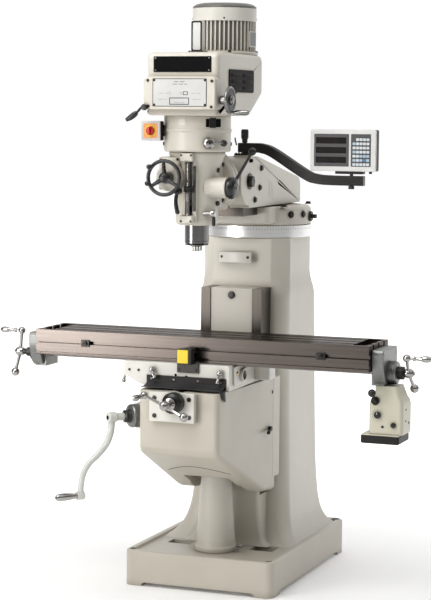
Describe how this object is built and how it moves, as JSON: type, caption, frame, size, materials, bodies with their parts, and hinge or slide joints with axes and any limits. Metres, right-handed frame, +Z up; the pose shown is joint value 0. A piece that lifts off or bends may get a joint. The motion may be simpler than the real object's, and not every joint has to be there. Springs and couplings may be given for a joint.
{
  "type": "vertical milling machine",
  "caption": "Knee-type vertical mill: cast base and column, sliding turret ram, swivelling belt-drive head with quill, T-slot table with cranks, power feed and digital readout.",
  "frame": {"origin": "centre of the outline on the floor plane, under the machine", "axes": "+Z up, +X along the table to the operator's right, -Y towards the operator, +Y to the back of the column"},
  "size_m": [1.6636, 1.239, 2.085],
  "materials": {
    "enamel": "semi-gloss machine enamel, warm off-white",
    "ground_iron": "ground and scraped",
    "bright_steel": "polished and plated",
    "machined_steel": "machined",
    "bronze": "machined bronze",
    "black_oxide": "blackened",
    "black_plastic": "black, satin",
    "black_rubber": "black",
    "grey_iron": "dark grey",
    "cream_plastic": "off-white, satin",
    "cream_enamel": "light enamel",
    "red_plastic": "red, glossy"
  },
  "bodies": {
    "frame": {"column_casting": "enamel", "pedestal_tube": "enamel", "elevating_nut": "bronze", "column_top_ring": "bright_steel"},
    "turret": {"turret": "enamel"},
    "ram_pinion": {"ram_pinion": "black_oxide"},
    "ram": {"ram": "enamel", "nod_pivot_bolt": "black_oxide", "readout_post": "black_plastic"},
    "adapter": {"ram_adapter": "enamel"},
    "head": {"quill_housing": "enamel", "gear_housing": "enamel", "belt_housing": "enamel", "nameplate": "black_plastic", "louvre_panel": "black_plastic", "motor_body": "enamel", "motor_fan_cover": "enamel", "drive_belt": "black_rubber", "drawbar_guard": "black_oxide", "switch_box": "black_plastic", "depth_stop_rod": "bright_steel"},
    "motor_pulley": {"motor_pulley": "black_oxide"},
    "spindle_pulley": {"spindle_pulley": "black_oxide"},
    "switch_knob": {"switch_knob": "red_plastic"},
    "brake_lever": {"brake_lever": "bright_steel"},
    "speed_handwheel": {"speed_handwheel": "bright_steel"},
    "hi_lo_lever": {"hi_lo_lever": "bright_steel"},
    "fine_feed_handwheel": {"fine_feed_handwheel": "black_plastic"},
    "quill_feed_lever": {"quill_feed_lever": "black_plastic"},
    "feed_trip_lever": {"feed_trip_lever": "black_plastic"},
    "quill_lock_lever": {"quill_lock_lever": "black_oxide"},
    "depth_stop_nut": {"depth_stop_nut": "black_oxide"},
    "quill": {"quill": "bright_steel"},
    "spindle": {"spindle": "machined_steel", "drawbar": "machined_steel"},
    "readout_arm": {"readout_arm": "black_plastic"},
    "readout_display": {"readout_display": "cream_plastic"},
    "knee": {"knee": "enamel", "cross_feed_bracket": "enamel"},
    "knee_crank": {"knee_crank": "cream_enamel"},
    "knee_crank_grip": {"knee_crank_grip": "bright_steel"},
    "elevating_screw": {"elevating_screw": "machined_steel"},
    "cross_feed": {"cross_feed_screw": "machined_steel", "cross_feed_crank": "bright_steel"},
    "saddle": {"saddle": "enamel", "way_wiper": "black_rubber", "stop_bracket": "black_oxide"},
    "table_lock_left": {"table_lock_lever_left": "bright_steel"},
    "table_lock_right": {"table_lock_lever_right": "bright_steel"},
    "saddle_lock": {"saddle_lock_lever": "bright_steel"},
    "table": {"table": "ground_iron", "end_bracket_left": "grey_iron", "end_bracket_right": "grey_iron", "power_feed_unit": "cream_plastic"},
    "x_screw": {"x_leadscrew": "machined_steel", "ball_crank_left": "bright_steel", "ball_crank_right": "bright_steel"},
    "power_feed_lever": {"power_feed_lever": "black_plastic"},
    "power_feed_speed_knob": {"power_feed_speed_knob": "cream_plastic"}
  },
  "joints": [
    {"name": "turret_turn", "type": "hinge", "parent": "frame", "child": "turret", "pos_m": [-0.019, 0.3845, 1.285], "axis": [0, 0, 1], "range_deg": [-180, 180]},
    {"name": "ram_slide", "type": "slide", "parent": "turret", "child": "ram", "axis": [0, -1, 0], "range_m": [-0.2, 0.11]},
    {"name": "ram_pinion_turn", "type": "hinge", "parent": "turret", "child": "ram_pinion", "pos_m": [0.181, 0.4005, 1.315], "axis": [1, 0, 0], "range_deg": [-770, 425]},
    {"name": "nod", "type": "hinge", "parent": "ram", "child": "adapter", "pos_m": [-0.019, -0.0145, 1.455], "axis": [1, 0, 0], "range_deg": [-36, 45]},
    {"name": "swivel", "type": "hinge", "parent": "adapter", "child": "head", "pos_m": [-0.019, -0.1338, 1.455], "axis": [0, 1, 0], "range_deg": [-90, 40]},
    {"name": "motor_pulley_spin", "type": "hinge", "parent": "head", "child": "motor_pulley", "pos_m": [-0.019, 0.0105, 1.79], "axis": [0, 0, 1], "continuous": true},
    {"name": "spindle_pulley_spin", "type": "hinge", "parent": "head", "child": "spindle_pulley", "pos_m": [-0.019, -0.242, 1.79], "axis": [0, 0, 1], "continuous": true},
    {"name": "switch_turn", "type": "hinge", "parent": "head", "child": "switch_knob", "pos_m": [-0.1475, -0.3555, 1.634], "axis": [0, 1, 0], "range_deg": [0, 90]},
    {"name": "brake_turn", "type": "hinge", "parent": "head", "child": "brake_lever", "pos_m": [-0.1445, -0.4095, 1.7145], "axis": [0, 1, 0], "range_deg": [-20, 20]},
    {"name": "speed_wheel_turn", "type": "hinge", "parent": "head", "child": "speed_handwheel", "pos_m": [0.151, -0.3735, 1.74], "axis": [1, 0, 0], "range_deg": [-180, 180]},
    {"name": "hi_lo_turn", "type": "hinge", "parent": "head", "child": "hi_lo_lever", "pos_m": [0.05653, -0.33201, 1.594], "axis": [0.6428, -0.766, 0], "range_deg": [-60, 60]},
    {"name": "fine_feed_turn", "type": "hinge", "parent": "head", "child": "fine_feed_handwheel", "pos_m": [-0.079, -0.3975, 1.475], "axis": [0, 1, 0], "continuous": true},
    {"name": "quill_feed_turn", "type": "hinge", "parent": "head", "child": "quill_feed_lever", "pos_m": [0.103, -0.2595, 1.44], "axis": [1, 0, 0], "range_deg": [-1, 288]},
    {"name": "feed_trip_turn", "type": "hinge", "parent": "head", "child": "feed_trip_lever", "pos_m": [-0.039, -0.3695, 1.43], "axis": [0, 1, 0], "range_deg": [-12, 12]},
    {"name": "quill_lock_turn", "type": "hinge", "parent": "head", "child": "quill_lock_lever", "pos_m": [0.059, -0.2995, 1.352], "axis": [1, 0, 0], "range_deg": [-35, 35]},
    {"name": "depth_stop_turn", "type": "hinge", "parent": "head", "child": "depth_stop_nut", "pos_m": [-0.015, -0.3355, 1.436], "axis": [0, 0, 1], "continuous": true},
    {"name": "quill_slide", "type": "slide", "parent": "head", "child": "quill", "axis": [0, 0, -1], "range_m": [0, 0.127]},
    {"name": "spindle_spin", "type": "hinge", "parent": "quill", "child": "spindle", "pos_m": [-0.019, -0.242, 1.25], "axis": [0, 0, 1], "continuous": true},
    {"name": "readout_arm_turn", "type": "hinge", "parent": "ram", "child": "readout_arm", "pos_m": [0.066, 0.0005, 1.5745], "axis": [0, 0, 1], "range_deg": [-35, 60]},
    {"name": "readout_display_turn", "type": "hinge", "parent": "readout_arm", "child": "readout_display", "pos_m": [0.481, -0.0495, 1.49], "axis": [0, 0, 1], "range_deg": [-30, 30]},
    {"name": "knee_slide", "type": "slide", "parent": "frame", "child": "knee", "axis": [0, 0, 1], "range_m": [-0.18, 0.2264]},
    {"name": "knee_crank_spin", "type": "hinge", "parent": "knee", "child": "knee_crank", "pos_m": [-0.019, -0.0325, 0.63], "axis": [-0.6428, -0.766, 0], "continuous": true},
    {"name": "knee_crank_grip_spin", "type": "hinge", "parent": "knee_crank", "child": "knee_crank_grip", "pos_m": [-0.36739, -0.4477, 0.362], "axis": [-0.6428, -0.766, 0], "continuous": true},
    {"name": "elevating_screw_spin", "type": "hinge", "parent": "knee", "child": "elevating_screw", "pos_m": [-0.019, -0.0325, 0.66], "axis": [0, 0, 1], "continuous": true},
    {"name": "cross_feed_spin", "type": "hinge", "parent": "knee", "child": "cross_feed", "pos_m": [-0.019, -0.4595, 0.71], "axis": [0, 1, 0], "continuous": true},
    {"name": "saddle_slide", "type": "slide", "parent": "knee", "child": "saddle", "axis": [0, 1, 0], "range_m": [-0.165, 0.105]},
    {"name": "table_lock_left_turn", "type": "hinge", "parent": "saddle", "child": "table_lock_left", "pos_m": [-0.144, -0.3295, 0.806], "axis": [0, 1, 0], "range_deg": [-30, 30]},
    {"name": "table_lock_right_turn", "type": "hinge", "parent": "saddle", "child": "table_lock_right", "pos_m": [0.109, -0.3295, 0.806], "axis": [0, 1, 0], "range_deg": [-30, 30]},
    {"name": "saddle_lock_turn", "type": "hinge", "parent": "saddle", "child": "saddle_lock", "pos_m": [-0.256, -0.2645, 0.8], "axis": [1, 0, 0], "range_deg": [-30, 30]},
    {"name": "table_slide", "type": "slide", "parent": "saddle", "child": "table", "axis": [1, 0, 0], "range_m": [-0.4, 0.33]},
    {"name": "x_screw_spin", "type": "hinge", "parent": "table", "child": "x_screw", "pos_m": [0.006, -0.182, 0.822], "axis": [1, 0, 0], "continuous": true},
    {"name": "power_feed_lever_turn", "type": "hinge", "parent": "table", "child": "power_feed_lever", "pos_m": [0.636, -0.2395, 0.73], "axis": [0, 1, 0], "range_deg": [-25, 25]},
    {"name": "power_feed_speed_turn", "type": "hinge", "parent": "table", "child": "power_feed_speed_knob", "pos_m": [0.645, -0.2395, 0.682], "axis": [0, 1, 0], "range_deg": [0, 270]}
  ],
  "couplings": [
    {"joint": "quill_feed_turn", "follows": "quill_slide", "rad_per_m": 39.37},
    {"joint": "ram_pinion_turn", "follows": "ram_slide", "rad_per_m": 66.667},
    {"joint": "elevating_screw_spin", "follows": "knee_crank_spin", "ratio": -0.635},
    {"joint": "spindle_pulley_spin", "follows": "spindle_spin", "ratio": 1},
    {"joint": "motor_pulley_spin", "follows": "spindle_spin", "ratio": 3.33}
  ]
}
